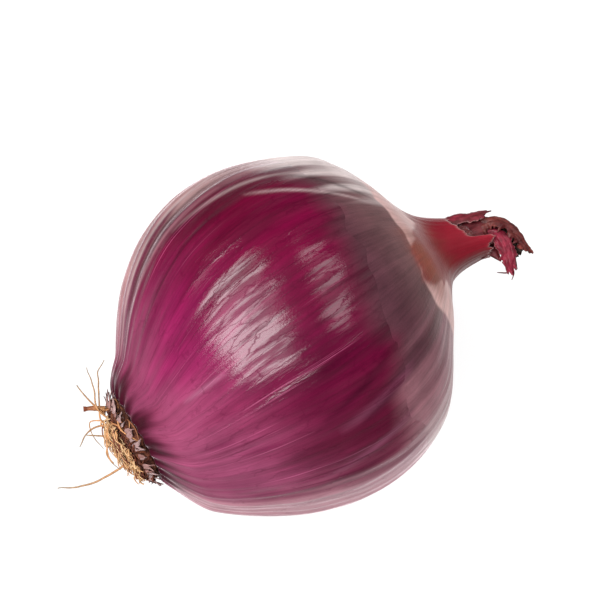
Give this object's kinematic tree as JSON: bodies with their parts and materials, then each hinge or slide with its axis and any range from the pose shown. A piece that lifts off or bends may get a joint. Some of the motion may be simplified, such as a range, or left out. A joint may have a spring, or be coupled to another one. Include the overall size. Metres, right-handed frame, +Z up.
{
  "type": "onion",
  "caption": "Whole red onion lying on its side, with a leaning dry neck, torn leaf ends, papery skin over the shoulder and a tuft of dry roots.",
  "frame": {"origin": "centre of the small flat spot that the onion rests on", "axes": "+X along the bulb's axis from the root plate towards the neck, +Y towards the side away from which the neck leans, +Z up from the resting surface"},
  "size_m": [0.1203, 0.0796, 0.0793],
  "materials": {
    "red_skin": "smooth, glossy onion skin, magenta to maroon with fine lengthwise streaks",
    "papery_skin": "dry, thin, grey-mauve papery skin, dull sheen",
    "dry_leaf": "crumpled dry leaf, red-brown, pale torn edges",
    "torn_scale": "torn papery scale tips, pale pinkish grey",
    "root_plate": "corky, rough, brown",
    "root": "dry fine roots, tan, matt"
  },
  "bodies": {
    "root": {"bulb": "red_skin", "leaf_end_1": "dry_leaf", "leaf_end_2": "dry_leaf", "leaf_end_3": "dry_leaf", "leaf_end_4": "dry_leaf", "leaf_end_5": "dry_leaf", "mat_root_01": "root", "mat_root_02": "root", "mat_root_03": "root", "mat_root_04": "root", "mat_root_05": "root", "mat_root_06": "root", "mat_root_07": "root", "mat_root_08": "root", "mat_root_09": "root", "mat_root_10": "root", "mat_root_11": "root", "mat_root_12": "root", "mat_root_13": "root", "mat_root_14": "root", "mat_root_15": "root", "mat_root_16": "root", "mat_root_17": "root", "mat_root_18": "root", "papery_skin": "papery_skin", "root_plate": "root_plate", "scale_collar": "torn_scale", "stray_root_hooked": "root", "stray_root_long": "root", "stray_root_lower": "root", "stray_root_side": "root", "stray_root_stub": "root", "stray_root_upper_left": "root", "stray_root_upper_right": "root"}
  },
  "joints": []
}
